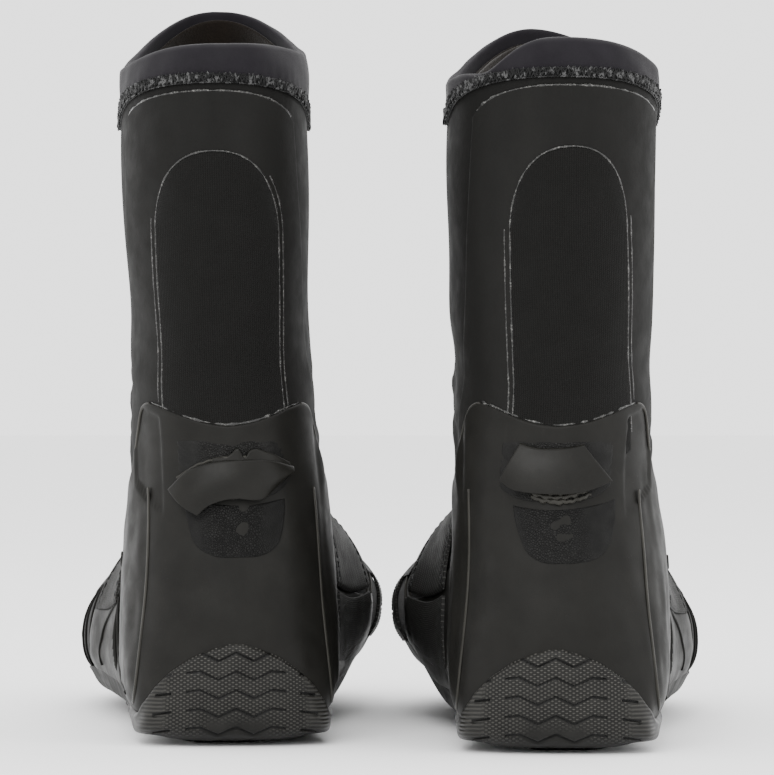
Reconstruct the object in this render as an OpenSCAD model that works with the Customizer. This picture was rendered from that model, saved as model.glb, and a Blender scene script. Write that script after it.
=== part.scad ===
// Pair of tall neoprene surf boots standing upright.
// One soft boot form is lofted through fan-shaped sections that run from the toe,
// under the heel and up the leg. Every layer is a patch of that form at its own offset.
// Toes point +Y, up is +Z, the floor is z = 0. Millimetres.

/* [Size] */
// Heel to toe length of the upper
foot_length = 285; // [240:1:320]
// Width across the ball of the foot
ball_width = 116; // [95:1:130]
// Width of the heel
heel_width = 78; // [60:1:90]
// Width of the leg
leg_width = 69; // [58:1:90]
// Height of the back of the cuff
back_height = 246; // [200:1:300]

/* [Layers] */
// Thickness of the neoprene
neoprene_t = 4; // [3:0.5:7]
// Thickness of the bonded fleece lining
lining_t = 0.6; // [0.4:0.1:1]
// Thickness of the rubber cup sole wall
cup_t = 2.6; // [2:0.1:4]
// Thickness of the flat tread plate
plate_t = 2.6; // [2:0.1:3]
// Thickness of the moulded rubber overlays
overlay_t = 1.3; // [0.8:0.1:2]
// Working gap between stacked layers
gap = 0.6; // [0.5:0.05:0.9]

/* [Stance] */
// Sideways position of the left heel
left_x = -56; // [-90:1:-45]
// Sideways position of the right heel
right_x = 60; // [45:1:90]
// How far the right boot stands behind the left
right_back = 30; // [0:1:60]
// Toe-out of the left foot
left_yaw = 5; // [0:0.5:12]
// Toe-out of the right foot
right_yaw = 3.4; // [0:0.5:12]

/* [Details] */
// Width of the calf insert
insert_w = 42; // [30:1:50]
// Height of the calf insert crown
insert_top = 208; // [190:1:220]
// Width of the pull tab at its fold
tab_w = 41; // [30:1:46]
// Length of the pull tab from seam to fold
tab_l = 16; // [12:1:20]
// Facets round a full loop
loops = 28; // [24:4:40]

/* [Hidden] */
ys = foot_length / 285;
bs = ball_width / 116;
hs = heel_width / 78;
ls = leg_width / 69;
zs = back_height / 246;

// Boot form, toe to cuff. Each row is one section plane:
// lower y, lower z, upper y, upper z, lateral half width, medial half width,
// share of the height below the widest point, squareness below, squareness above.
STATIONS = [
  // forefoot and toe
  [285 * ys, 14, 285 * ys, 24, 7 * bs, 7 * bs, 0.50, 2.2, 2.2],
  [282 * ys, 9, 279 * ys, 35, 22 * bs, 23 * bs, 0.45, 2.4, 2.2],
  [271 * ys, 6.5, 265 * ys, 44, 36 * bs, 37 * bs, 0.42, 2.6, 2.2],
  [248 * ys, 6.5, 240 * ys, 53, 48 * bs, 49 * bs, 0.42, 2.8, 2.2],
  [218 * ys, 6.5, 207 * ys, 61, 56 * bs, 56 * bs, 0.40, 3.0, 2.1],
  [186 * ys, 6.5, 174 * ys, 70, 58 * bs, 58 * bs, 0.38, 3.0, 2.0],
  // instep
  [150 * ys, 6.5, 146 * ys, 83, 53 * bs, 53 * bs, 0.36, 3.0, 1.9],
  [112 * ys, 6.5, 130 * ys, 95, 44 * bs, 44 * bs, 0.32, 3.3, 1.9],
  [74 * ys, 6.5, 123, 105, 38.5 * hs, 38 * hs, 0.32, 4.0, 2.0],
  [38, 6, 119, 114, 37.5 * hs, 37 * hs, 0.32, 4.6, 2.1],
  // heel and ankle
  [8, 9.5, 117, 121, 37.5 * hs, 37 * hs, 0.34, 3.6, 2.1],
  [2, 36, 115, 127, 36 * hs, 35.5 * hs, 0.38, 2.5, 2.2],
  [5, 68, 113, 134, 34.5 * hs, 34 * hs, 0.42, 2.3, 2.2],
  [10, 98, 112, 142, 33.5 * ls, 33 * ls, 0.46, 2.2, 2.2],
  [11, 122 * zs, 112, 152 * zs, 32.5 * ls, 32.5 * ls, 0.48, 2.2, 2.2],
  // leg and cuff
  [9, 144 * zs, 113, 165 * zs, 32.5 * ls, 32.5 * ls, 0.50, 2.2, 2.2],
  [6, 178 * zs, 115, 193 * zs, 33.5 * ls, 33.5 * ls, 0.50, 2.2, 2.2],
  [3, 213 * zs, 117, 225 * zs, 34 * ls, 34 * ls, 0.50, 2.2, 2.2],
  [2, 234 * zs, 117, 246 * zs, 34 * ls, 34 * ls, 0.50, 2.2, 2.2],
  [3, 246 * zs, 116, 268 * zs, 31 * ls, 31 * ls, 0.50, 2.2, 2.0]
];
LAST = len(STATIONS) - 1;

// Per boot: side (+1 right), x, y, toe-out, leg twist, leg lean, drop of the front rim,
// height over which the leg leans, widening of the leg, drop of the inner rim
BOOTS = [
  [-1, left_x, 0, left_yaw, 2, 5, 0, 160, 0, 0],
  [1, right_x, -right_back, right_yaw, 6, -3, 0.36, 60, 0.09, 0.5]
];

// Section numbers where the construction changes
t_ankle_low = 12.3;
t_ankle_high = 14.3;
t_leg_low = 14.4;

function clamp01(a) = min(1, max(0, a));
function ease(a) = let (c = clamp01(a)) c * c * (3 - 2 * c);
function mix(a, b, f) = a + (b - a) * f;
function pow_signed(a, e) = sign(a) * pow(abs(a), e);

// Smooth row between the stations
function row(t) =
  let (
    c = min(LAST - 0.0001, max(0, t)),
    i = floor(c),
    f = c - i,
    p0 = STATIONS[max(0, i - 1)],
    p1 = STATIONS[i],
    p2 = STATIONS[i + 1],
    p3 = STATIONS[min(LAST, i + 2)]
  )
  (2 * p1 + (p2 - p0) * f + (2 * p0 - 5 * p1 + 4 * p2 - p3) * f * f
    + (3 * p1 - p0 - 3 * p2 + p3) * f * f * f) / 2;

// Point of the form: t along the boot, a round the section, off outwards.
// a = 0 is the sole or back line, 90 the lateral side, 180 the instep or shin line.
function skin(t, a, off) =
  let (
    r = row(t),
    len_yz = norm([r[2] - r[0], r[3] - r[1]]),
    uy = (r[2] - r[0]) / len_yz,
    uz = (r[3] - r[1]) / len_yz,
    n = cos(a) > 0 ? r[7] : r[8],
    across = pow_signed(sin(a), 2 / n),
    along = pow_signed(cos(a), 2 / n),
    half = (sin(a) > 0 ? r[4] : r[5]) + off,
    below = r[6] * len_yz,
    reach = cos(a) > 0 ? below + off : len_yz - below + off,
    q = below - along * reach,
    toe_push = off * clamp01(1 - t / 2)
  )
  [half * across, r[0] + uy * q + toe_push, r[1] + uz * q];

// Foot curve, rolled-up medial edge, leaning instep, twisted and leaning leg
function form(b, p) =
  let (
    low = 1 - ease((p[2] - 90) / 60),
    swing = 7 * ease((p[1] - 60) / 130) * low,
    instep = 6 * ease((p[2] - 25) / 60) * ease((p[1] - 90) / 50) * (1 - ease((p[2] - 105) / 40)),
    roll = 12 * ease((-p[0] - 18) / 40) * ease((p[1] - 110) / 50) * (1 - ease((p[2] - 15) / 60)),
    lean = BOOTS[b][5] * ease((p[2] - 60) / BOOTS[b][7]),
    tw = BOOTS[b][4] * ease((p[2] - 84) / 46),
    wide = BOOTS[b][8] * ease((p[2] - 80) / 80),
    x = (p[0] - swing - instep) * (1 + wide),
    y = (p[1] - 62) * (1 - 0.5 * wide)
  )
  [x * cos(tw) - y * sin(tw) + lean, x * sin(tw) + y * cos(tw) + 62, p[2] + roll];

// Local boot coordinates to the shared frame
function place(b, p) =
  let (
    w = -BOOTS[b][3],
    y = p[1] - 40,
    x2 = p[0] * cos(w) - y * sin(w),
    y2 = p[0] * sin(w) + y * cos(w) + 40
  )
  [BOOTS[b][0] * x2 + BOOTS[b][1], y2 + BOOTS[b][2] - 128, p[2]];

function at(b, t, a, off) = place(b, form(b, skin(t, a, off)));

// Same move as place() for exact solids
module seat(b) {
  translate([BOOTS[b][1], BOOTS[b][2] - 128 + 40, 0])
    mirror([BOOTS[b][0] < 0 ? 1 : 0, 0, 0])
      rotate([0, 0, -BOOTS[b][3]])
        translate([0, -40, 0])
          children();
}

// Thin solid between two offsets of the form. shape(u, v) gives [t, a].
// wrap closes it into a tube, pole closes its first row into a rounded tip.
module patch(b, nu, nv, shape, low, high, wrap = false, pole = false) {
  cols = wrap ? nu : nu + 1;
  rows = nv + 1;
  size = cols * rows;
  pts = [
    for (k = [0, 1]) for (j = [0:nv]) for (i = [0:cols - 1])
      let (s = shape(i / nu, j / nv)) at(b, s[0], s[1], k == 0 ? high : low)
  ];
  tips = [for (k = [0, 1]) let (q = [for (i = [0:cols - 1]) pts[k * size + i]])
    [for (c = [0:2]) [for (r = q) r[c]] * [for (r = q) 1] / cols]];
  faces_out = [
    for (k = [0, 1]) for (j = [0:nv - 1]) for (i = [0:nu - 1])
      let (
        o = k * size + j * cols,
        a0 = o + i,
        a1 = o + (i + 1) % cols,
        b0 = a0 + cols,
        b1 = a1 + cols
      )
      each (k == 0 ? [[a0, b0, b1], [a0, b1, a1]] : [[a0, b1, b0], [a0, a1, b1]])
  ];
  ends = [
    for (j = pole ? [nv] : [0, nv]) for (i = [0:nu - 1])
      let (
        a0 = j * cols + i,
        a1 = j * cols + (i + 1) % cols,
        c0 = a0 + size,
        c1 = a1 + size
      )
      each (j == 0 ? [[a0, a1, c1], [a0, c1, c0]] : [[a0, c1, a1], [a0, c0, c1]])
  ];
  sides = wrap ? [] : [
    for (i = [0, nu]) for (j = [0:nv - 1])
      let (
        a0 = j * cols + i,
        b0 = a0 + cols,
        c0 = a0 + size,
        d0 = b0 + size
      )
      each (i == 0 ? [[a0, c0, d0], [a0, d0, b0]] : [[a0, d0, c0], [a0, b0, d0]])
  ];
  caps = pole ? [
    for (k = [0, 1]) for (i = [0:nu - 1])
      let (a0 = k * size + i, a1 = k * size + (i + 1) % cols, m = 2 * size + k)
        k == 0 ? [a0, a1, m] : [a0, m, a1]
  ] : [];
  all_faces = concat(faces_out, ends, sides, caps);
  flip = BOOTS[b][0] < 0;
  polyhedron(
    points = pole ? concat(pts, tips) : pts,
    faces = flip ? [for (f = all_faces) [f[2], f[1], f[0]]] : all_faces,
    convexity = 8
  );
}

// Loop of the form between two section numbers
function loop(t0, t1) = function (u, v) [mix(t0, t1, v), 360 * u];

// Section rows shared by every layer of the foot, so stacked layers stay parallel
ROWS = [0, 0.6, 1.3, 2, 3, 4, 5, 6, 7, 8, 9, 9.6, 10.2, 10.8, 11.4, t_ankle_low];
function foot_loop(first) = function (u, v) [ROWS[first + round(v * (15 - first))], 360 * u];

// Offsets of the stacked layers
in_skin = -neoprene_t;
lining_high = in_skin - gap;
lining_low = lining_high - lining_t;
over_low = gap;
over_high = gap + overlay_t;
patch_low = over_high + 0.5;
patch_high = patch_low + 1;
strap_low = over_high + 1;
strap_high = strap_low + 1.6;

// Top edge of the rubber cup, as half the angle it wraps
CUP_EDGE = [
  [0.6, 60], [1.3, 62], [2, 64], [3, 66], [6, 66], [7, 63], [8, 59],
  [9, 55], [9.6, 50], [10.2, 42], [10.8, 27], [11.1, 6]
];
CUP_ROWS = [0.6, 1.3, 2, 3, 4, 5, 6, 7, 8, 9, 9.6, 10.2, 10.8, 11.1];

// Heel counter: lower and upper edge against the distance round from the back line
LOW_T = [[0, 11.25], [0.2, 11.05], [0.4, 10.6], [0.55, 10.1], [0.7, 9.2], [0.85, 7.8], [1, 5.8]];
LOW_A = [[0, 0], [0.2, 17], [0.4, 38], [0.55, 50], [0.7, 58], [0.85, 64], [1, 68.5]];
TOP_T = [[0, 13.55], [0.2, 13.65], [0.4, 13.85], [0.55, 12.9], [0.7, 11.2], [0.85, 9.0], [1, 6.0]];
TOP_A = [[0, 0], [0.2, 30], [0.4, 60], [0.55, 80], [0.7, 96], [0.85, 115], [1, 98]];

// Seam between leg and cuff, and the rim
function seam_t(a) = 17.1 + 0.9 * pow(max(0, cos(a)), 0.8);
function rim_t(b, a) =
  19 - 0.75 * sin(a) * sin(a) - 0.15 * sin(a) - BOOTS[b][6] * (1 - cos(a)) / 2
    - BOOTS[b][9] * pow(max(0, -sin(a)), 2);

// Half width of the foot in plan, for the flat parts
function plan_side(inset, sgn) = [
  for (t = sgn > 0 ? [9.4:-0.6:1.6] : [1.6:0.6:9.4])
    let (
      r = row(t),
      reach = min(r[0], 284) - (t < 2 ? inset * 0.4 : 0),
      half = (sgn > 0 ? r[4] : r[5] * 0.9) - inset,
      swing = 7 * ease((reach - 60) / 130)
    )
    [sgn * half - swing, reach]
];
module plan(inset) {
  polygon(concat(plan_side(inset, 1), plan_side(inset, -1)));
}

// ---- foot ----

module tread_plate(b) {
  color("#3b3a37")
    seat(b)
      linear_extrude(plate_t)
        plan(10);
}

module sole_cup(b) {
  color("#46443f")
    patch(b, 12, 13,
      function (u, v) let (t = CUP_ROWS[round(v * 13)]) [t, (2 * u - 1) * lookup(t, CUP_EDGE)],
      gap, gap + cup_t);
}

module toe_bumper(b) {
  color("#34332f")
    patch(b, loops, 3, function (u, v) [1.5 * v, 360 * u],
      gap + cup_t + gap, gap + cup_t + gap + 1.3, wrap = true, pole = true);
}

module insole(b) {
  color("#2a2926")
    patch(b, 12, 9,
      function (u, v) [ROWS[2 + round(v * 9)], (2 * u - 1) * 46],
      lining_low - 3.2, lining_low - 0.4);
}

module foot_shell(b) {
  color("#302f2c")
    patch(b, loops, 15, foot_loop(0), in_skin, 0, wrap = true, pole = true);
}

module foot_lining(b) {
  color("#4a3d30")
    patch(b, loops, 14, foot_loop(1), lining_low, lining_high, wrap = true, pole = true);
}

module heel_counter(b) {
  color("#2d2c29")
    difference() {
      patch(b, 32, 12,
        function (u, v)
          let (s = abs(2 * u - 1), g = sign(2 * u - 1))
          [mix(lookup(s, LOW_T), lookup(s, TOP_T), v),
            g * mix(lookup(s, LOW_A), lookup(s, TOP_A), v)],
        over_low, over_high);
      // pointed window in the lateral wing
      seat(b)
        translate([18, 92, 39])
          rotate([6, 0, 0])
            rotate([90, 0, 90])
              linear_extrude(40)
                intersection() {
                  translate([-8, 0])
                    circle(r = 20, $fn = 48);
                  translate([8, 0])
                    circle(r = 20, $fn = 48);
                }
    }
}

module anchor_patch(b) {
  color("#242321")
    patch(b, 6, 3,
      function (u, v) [mix(12.05 + 0.3 * pow(abs(2 * u - 1), 4), 12.62, v), (2 * u - 1) * 29],
      patch_low, patch_high);
}

module tab_base(b) {
  color("#383733")
    patch(b, 4, 2, function (u, v) [mix(12.68, 13.4, v), (2 * u - 1) * 17],
      patch_low, patch_high - 0.2);
}

module instep_panel(b) {
  color("#211f1d")
    patch(b, 16, 4, function (u, v) [v < 1 ? 2 + 4 * v : 5.9, mix(112, 248, u)],
      over_low, over_low + 0.8);
}

module strap_root(b) {
  color("#393835")
    patch(b, 4, 4, function (u, v) [mix(6.3, 7.7, v), mix(264, 284, u)],
      strap_low, strap_high);
}

module hook_pad(b) {
  color("#1d1c1a")
    patch(b, 4, 4, function (u, v) [mix(6.45, 7.55, v), mix(112, 138, u)],
      over_low + 0.5, over_low + 1.2);
}

// ---- moving trim ----

module instep_strap(b) {
  color("#4a4844")
    patch(b, 28, 4, function (u, v) [mix(6.3, 7.7, v), mix(98, 257, u)],
      strap_low, strap_high);
}

// Sewn loop: folded up on the left boot, hanging down on the right
module pull_tab(b) {
  up = b == 0;
  t_seam = up ? 12.76 : 13.3;
  t_fold = up ? t_seam + 0.025 * tab_l : t_seam - 0.036 * tab_l;
  color("#3d3b38")
    patch(b, 6, 2,
      function (u, v)
        let (w = mix(17, 0.75 * tab_w, pow(v, 0.6)))
        [up ? mix(t_seam, t_fold, v) : mix(t_fold, t_seam, 1 - v), (2 * u - 1) * w],
      up ? 4 : 6.6, up ? 6.6 : 4);
}

// ---- leg ----

module ankle_gusset(b) {
  color("#2e2d2a")
    patch(b, loops, 3, loop(t_ankle_low + 0.05, t_ankle_high), in_skin, 0, wrap = true);
}

module leg_back_panel(b) {
  color("#3a3935")
    patch(b, 10, 6,
      function (u, v) let (a = (2 * u - 1) * 62) [mix(t_leg_low, seam_t(a) - 0.04, v), a],
      in_skin, 0);
}

module leg_front_panel(b) {
  color("#33322f")
    patch(b, 18, 6,
      function (u, v) let (a = mix(63.2, 296.8, u)) [mix(t_leg_low, seam_t(a) - 0.04, v), a],
      in_skin, 0);
}

function crown(x) = sqrt(max(0, 1 - x * x));

module calf_insert(b) {
  half = asin(min(0.99, insert_w / leg_width));
  rise = (insert_top - 208) / 35;
  color("#22211e")
    patch(b, 10, 5,
      function (u, v)
        let (x = 2 * u - 1)
        [mix(14.5, 16.05 + rise + 0.8 * crown(x), v), x * half],
      over_low, over_low + 0.7);
}

module insert_seam(b) {
  half = asin(min(0.99, insert_w / leg_width)) + 0.8;
  rise = (insert_top - 208) / 35;
  color("#77746c")
    patch(b, 20, 1,
      function (u, v)
        let (
          w = half + 3.2 * v,
          h = 0.84 + 0.07 * v,
          th = 180 * clamp01((u - 0.25) / 0.5),
          s = u < 0.25 ? u / 0.25 : u > 0.75 ? (1 - u) / 0.25 : 1
        )
        [mix(14.5, 16.05 + rise, s) + h * sin(th), -w * cos(th)],
      1.4, 0.6);
}

module cuff(b) {
  color("#33303a")
    patch(b, loops, 3,
      function (u, v) let (a = 360 * u) [mix(seam_t(a), rim_t(b, a), v), a],
      -3.2, 0.4, wrap = true);
}

module cuff_stitching(b) {
  color("#151515")
    patch(b, loops, 2,
      function (u, v) let (a = 360 * u) [seam_t(a) + mix(-0.2, 0.22, v), a],
      1.0, 1.7, wrap = true);
}

module leg_lining(b) {
  color("#4a3d30")
    patch(b, loops, 5,
      function (u, v) let (a = 360 * u) [mix(t_leg_low, rim_t(b, a) - 0.2, v), a],
      lining_low, lining_high, wrap = true);
}

// ---- one module per piece ----

module left_tread_plate() {
  tread_plate(0);
}
module left_sole_cup() {
  sole_cup(0);
}
module left_toe_bumper() {
  toe_bumper(0);
}
module left_insole() {
  insole(0);
}
module left_foot_shell() {
  foot_shell(0);
}
module left_foot_lining() {
  foot_lining(0);
}
module left_heel_counter() {
  heel_counter(0);
}
module left_anchor_patch() {
  anchor_patch(0);
}
module left_tab_base() {
  tab_base(0);
}
module left_instep_panel() {
  instep_panel(0);
}
module left_strap_root() {
  strap_root(0);
}
module left_hook_pad() {
  hook_pad(0);
}
module left_instep_strap() {
  instep_strap(0);
}
module left_pull_tab() {
  pull_tab(0);
}
module left_ankle_gusset() {
  ankle_gusset(0);
}
module left_leg_back_panel() {
  leg_back_panel(0);
}
module left_leg_front_panel() {
  leg_front_panel(0);
}
module left_calf_insert() {
  calf_insert(0);
}
module left_insert_seam() {
  insert_seam(0);
}
module left_cuff() {
  cuff(0);
}
module left_cuff_stitching() {
  cuff_stitching(0);
}
module left_leg_lining() {
  leg_lining(0);
}
module right_tread_plate() {
  tread_plate(1);
}
module right_sole_cup() {
  sole_cup(1);
}
module right_toe_bumper() {
  toe_bumper(1);
}
module right_insole() {
  insole(1);
}
module right_foot_shell() {
  foot_shell(1);
}
module right_foot_lining() {
  foot_lining(1);
}
module right_heel_counter() {
  heel_counter(1);
}
module right_anchor_patch() {
  anchor_patch(1);
}
module right_tab_base() {
  tab_base(1);
}
module right_instep_panel() {
  instep_panel(1);
}
module right_strap_root() {
  strap_root(1);
}
module right_hook_pad() {
  hook_pad(1);
}
module right_instep_strap() {
  instep_strap(1);
}
module right_pull_tab() {
  pull_tab(1);
}
module right_ankle_gusset() {
  ankle_gusset(1);
}
module right_leg_back_panel() {
  leg_back_panel(1);
}
module right_leg_front_panel() {
  leg_front_panel(1);
}
module right_calf_insert() {
  calf_insert(1);
}
module right_insert_seam() {
  insert_seam(1);
}
module right_cuff() {
  cuff(1);
}
module right_cuff_stitching() {
  cuff_stitching(1);
}
module right_leg_lining() {
  leg_lining(1);
}

left_tread_plate();
left_sole_cup();
left_toe_bumper();
left_insole();
left_foot_shell();
left_foot_lining();
left_heel_counter();
left_anchor_patch();
left_tab_base();
left_instep_panel();
left_strap_root();
left_hook_pad();
left_instep_strap();
left_pull_tab();
left_ankle_gusset();
left_leg_back_panel();
left_leg_front_panel();
left_calf_insert();
left_insert_seam();
left_cuff();
left_cuff_stitching();
left_leg_lining();
right_tread_plate();
right_sole_cup();
right_toe_bumper();
right_insole();
right_foot_shell();
right_foot_lining();
right_heel_counter();
right_anchor_patch();
right_tab_base();
right_instep_panel();
right_strap_root();
right_hook_pad();
right_instep_strap();
right_pull_tab();
right_ankle_gusset();
right_leg_back_panel();
right_leg_front_panel();
right_calf_insert();
right_insert_seam();
right_cuff();
right_cuff_stitching();
right_leg_lining();
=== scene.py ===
"""Pair of neoprene surf boots: surfaces, seams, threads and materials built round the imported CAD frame.

Every layer is a patch of one boot form. A patch runs over t (section number from the toe, under the
heel, up to the cuff) and a (degrees round the section: 0 sole or back line, 90 outer side, 180 instep
or shin line). Lengths are millimetres until a mesh is made.
"""
import math

import bmesh
import bpy
import mathutils
import numpy as np
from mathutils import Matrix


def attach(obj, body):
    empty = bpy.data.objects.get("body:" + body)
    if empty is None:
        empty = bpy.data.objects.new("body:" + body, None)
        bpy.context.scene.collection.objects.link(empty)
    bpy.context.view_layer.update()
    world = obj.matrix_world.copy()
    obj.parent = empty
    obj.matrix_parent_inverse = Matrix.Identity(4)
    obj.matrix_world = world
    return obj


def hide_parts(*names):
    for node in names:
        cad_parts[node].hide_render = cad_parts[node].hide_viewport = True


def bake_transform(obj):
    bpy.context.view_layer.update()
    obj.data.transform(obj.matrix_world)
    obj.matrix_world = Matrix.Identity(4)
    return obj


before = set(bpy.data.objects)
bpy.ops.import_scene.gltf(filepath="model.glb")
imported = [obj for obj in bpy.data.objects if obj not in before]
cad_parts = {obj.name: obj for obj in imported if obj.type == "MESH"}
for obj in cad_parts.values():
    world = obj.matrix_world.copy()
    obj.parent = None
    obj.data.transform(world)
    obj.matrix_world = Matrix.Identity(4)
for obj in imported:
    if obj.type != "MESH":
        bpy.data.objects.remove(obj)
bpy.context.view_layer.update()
MM = 0.001
SIDES = ("left", "right")

# ---------------------------------------------------------------- boot form, as in the CAD

# lower y, z, upper y, z, outer and inner half width, share below the widest point, squareness low, high
STATIONS = np.array([
    [285, 14, 285, 24, 7, 7, .50, 2.2, 2.2], [282, 9, 279, 35, 22, 23, .45, 2.4, 2.2],
    [271, 6.5, 265, 44, 36, 37, .42, 2.6, 2.2], [248, 6.5, 240, 53, 48, 49, .42, 2.8, 2.2],
    [218, 6.5, 207, 61, 56, 56, .40, 3.0, 2.1], [186, 6.5, 174, 70, 58, 58, .38, 3.0, 2.0],
    [150, 6.5, 146, 83, 53, 53, .36, 3.0, 1.9], [112, 6.5, 130, 95, 44, 44, .32, 3.3, 1.9],
    [74, 6.5, 123, 105, 38.5, 38, .32, 4.0, 2.0], [38, 6, 119, 114, 37.5, 37, .32, 4.6, 2.1],
    [8, 9.5, 117, 121, 37.5, 37, .34, 3.6, 2.1], [2, 36, 115, 127, 36, 35.5, .38, 2.5, 2.2],
    [5, 68, 113, 134, 34.5, 34, .42, 2.3, 2.2], [10, 98, 112, 142, 33.5, 33, .46, 2.2, 2.2],
    [11, 122, 112, 152, 32.5, 32.5, .48, 2.2, 2.2], [9, 144, 113, 165, 32.5, 32.5, .50, 2.2, 2.2],
    [6, 178, 115, 193, 33.5, 33.5, .50, 2.2, 2.2], [3, 213, 117, 225, 34, 34, .50, 2.2, 2.2],
    [2, 234, 117, 246, 34, 34, .50, 2.2, 2.2], [3, 246, 116, 268, 31, 31, .50, 2.2, 2.0]], float)
LAST = len(STATIONS) - 1
LEG_START = 12.3          # section number where the foot gives way to the leg
FOOT_SCALE = (28, .62)    # mm for one section and for one degree, on the foot
LEG_SCALE = (33, .6)      # the same on the leg
# side, x, y, toe-out, leg twist, leg lean, front rim drop, lean height, leg widening, inner rim drop
BOOTS = [(-1, -56, 0, 5, 2, 5, 0, 160, 0, 0), (1, 60, -30, 3.4, 6, -3, .36, 60, .09, .5)]


def ease(x):
    x = np.clip(x, 0, 1)
    return x * x * (3 - 2 * x)


def row(t):
    """The station table read at t, along a smooth curve through its rows."""
    c = np.clip(np.asarray(t, float), 0, LAST - 1e-4)
    i = np.floor(c).astype(int)
    f = (c - i)[..., None]
    p0, p1, p2, p3 = (STATIONS[np.clip(i + k, 0, LAST)] for k in (-1, 0, 1, 2))
    return (2 * p1 + (p2 - p0) * f + (2 * p0 - 5 * p1 + 4 * p2 - p3) * f * f
            + (3 * p1 - p0 - 3 * p2 + p3) * f ** 3) / 2


def skin(t, a, off):
    """Points off mm outside the straight form."""
    t, a, off = np.broadcast_arrays(*(np.asarray(q, float) for q in (t, a, off)))
    r = row(t)
    length = np.hypot(r[..., 2] - r[..., 0], r[..., 3] - r[..., 1])
    uy, uz = (r[..., 2] - r[..., 0]) / length, (r[..., 3] - r[..., 1]) / length
    c, s = np.cos(np.radians(a)), np.sin(np.radians(a))
    n = np.where(c > 0, r[..., 7], r[..., 8])
    across = np.sign(s) * np.abs(s) ** (2 / n)
    along = np.sign(c) * np.abs(c) ** (2 / n)
    half = np.where(s > 0, r[..., 4], r[..., 5]) + off
    below = r[..., 6] * length
    q = below - along * np.where(c > 0, below + off, length - below + off)
    y = r[..., 0] + uy * q + off * np.clip(1 - t / 2, 0, 1)
    return np.stack([half * across, y, r[..., 1] + uz * q], -1)


def form(b, p):
    """Bends straight-form points into the swung foot and the leaning, twisted leg."""
    x, y, z = p[..., 0], p[..., 1], p[..., 2]
    k = BOOTS[b]
    swing = 7 * ease((y - 60) / 130) * (1 - ease((z - 90) / 60))
    instep = 6 * ease((z - 25) / 60) * ease((y - 90) / 50) * (1 - ease((z - 105) / 40))
    roll = 12 * ease((-x - 18) / 40) * ease((y - 110) / 50) * (1 - ease((z - 15) / 60))
    lean = k[5] * ease((z - 60) / k[7])
    turn = np.radians(k[4] * ease((z - 84) / 46))
    wide = k[8] * ease((z - 80) / 80)
    x, y = (x - swing - instep) * (1 + wide), (y - 62) * (1 - .5 * wide)
    return np.stack([x * np.cos(turn) - y * np.sin(turn) + lean,
                     x * np.sin(turn) + y * np.cos(turn) + 62, z + roll], -1)


def place(b, p):
    """Mirrors, turns out and moves a boot's points to where the boot stands."""
    k = BOOTS[b]
    w, y = math.radians(-k[3]), p[..., 1] - 40
    return np.stack([k[0] * (p[..., 0] * math.cos(w) - y * math.sin(w)) + k[1],
                     p[..., 0] * math.sin(w) + y * math.cos(w) + 40 + k[2] - 128, p[..., 2]], -1)


def swell(b, t, a):
    """Slight unevenness of the soft leg, shared by every layer so that they stay stacked."""
    t, a = np.asarray(t, float), np.radians(a)
    wave = waves(34 * np.sin(a), 28 * t, 11 + b, 62) + waves(34 * np.cos(a), 28 * t, 21 + b, 55)
    return .42 * wave * ease((t - 12.6) / 1.6)


def at(b, t, a, off):
    """The finished place of a point of the form."""
    return place(b, form(b, skin(t, a, off + swell(b, t, a))))


def seam_t(a):
    """Section number of the seam under the cuff."""
    return 17.1 + .9 * np.maximum(0, np.cos(np.radians(a))) ** .8


def rim_t(b, a):
    """Section number of the cuff's rim."""
    s, c = np.sin(np.radians(a)), np.cos(np.radians(a))
    front_drop, inner_drop = BOOTS[b][6], BOOTS[b][9]
    sag = .13 * b * np.maximum(0, -c) ** 1.5
    return 19 - .75 * s * s - .15 * s - front_drop * (1 - c) / 2 - inner_drop * np.maximum(0, -s) ** 2 - sag


def mix(p, q, f):
    """From p to q at share f."""
    return p + (q - p) * f


def lookup(x, table):
    """Straight-line value at x of a table of (x, value) rows."""
    xs, ys = zip(*table)
    return np.interp(x, xs, ys)


def waves(x, y, seed, size):
    """Soft uneven swell, about -1 to 1, with features of roughly that size."""
    rng = np.random.default_rng(seed)
    total = 0
    for _ in range(7):
        w, ph = rng.uniform(0, 2 * math.pi, 2)
        f = 2 * math.pi / size * rng.uniform(.6, 1.5)
        total = total + np.sin(f * (x * math.cos(w) + y * math.sin(w)) + ph)
    return total / 3.5


def hermite(pts, slope, k, h, f):
    """Smooth curve from point k to point k + 1 at share f, the two being h apart."""
    return ((2 * f ** 3 - 3 * f * f + 1) * pts[k] + (f ** 3 - 2 * f * f + f) * h * slope[k]
            + (3 * f * f - 2 * f ** 3) * pts[k + 1] + (f ** 3 - f * f) * h * slope[k + 1])


def even(table, n):
    """n points spaced evenly along a smooth curve through the (t, a) points of a table."""
    pts = np.array(table, float)
    step = np.linalg.norm(np.diff(pts * FOOT_SCALE, axis=0), axis=1)
    s = np.concatenate([[0], np.cumsum(step)])
    x = np.linspace(0, s[-1], n)
    k = np.clip(np.searchsorted(s, x) - 1, 0, len(s) - 2)
    h = s[k + 1] - s[k]
    f, h = ((x - s[k]) / h)[:, None], h[:, None]
    return hermite(pts, np.gradient(pts, s, axis=0), k, h, f)


def along(x, table):
    """Smooth value at x of a table of (x, value, ...) rows, one array per value."""
    pts = np.array(table, float)
    xs, ys = pts[:, 0], pts[:, 1:]
    x = np.clip(x, xs[0], xs[-1])
    k = np.clip(np.searchsorted(xs, x, side="right") - 1, 0, len(xs) - 2)
    h = xs[k + 1] - xs[k]
    f, h = ((x - xs[k]) / h)[..., None], h[..., None]
    v = hermite(ys, np.gradient(ys, xs, axis=0), k, h, f)
    return tuple(v[..., c] for c in range(v.shape[-1]))


# ---------------------------------------------------------------- mesh making

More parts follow.
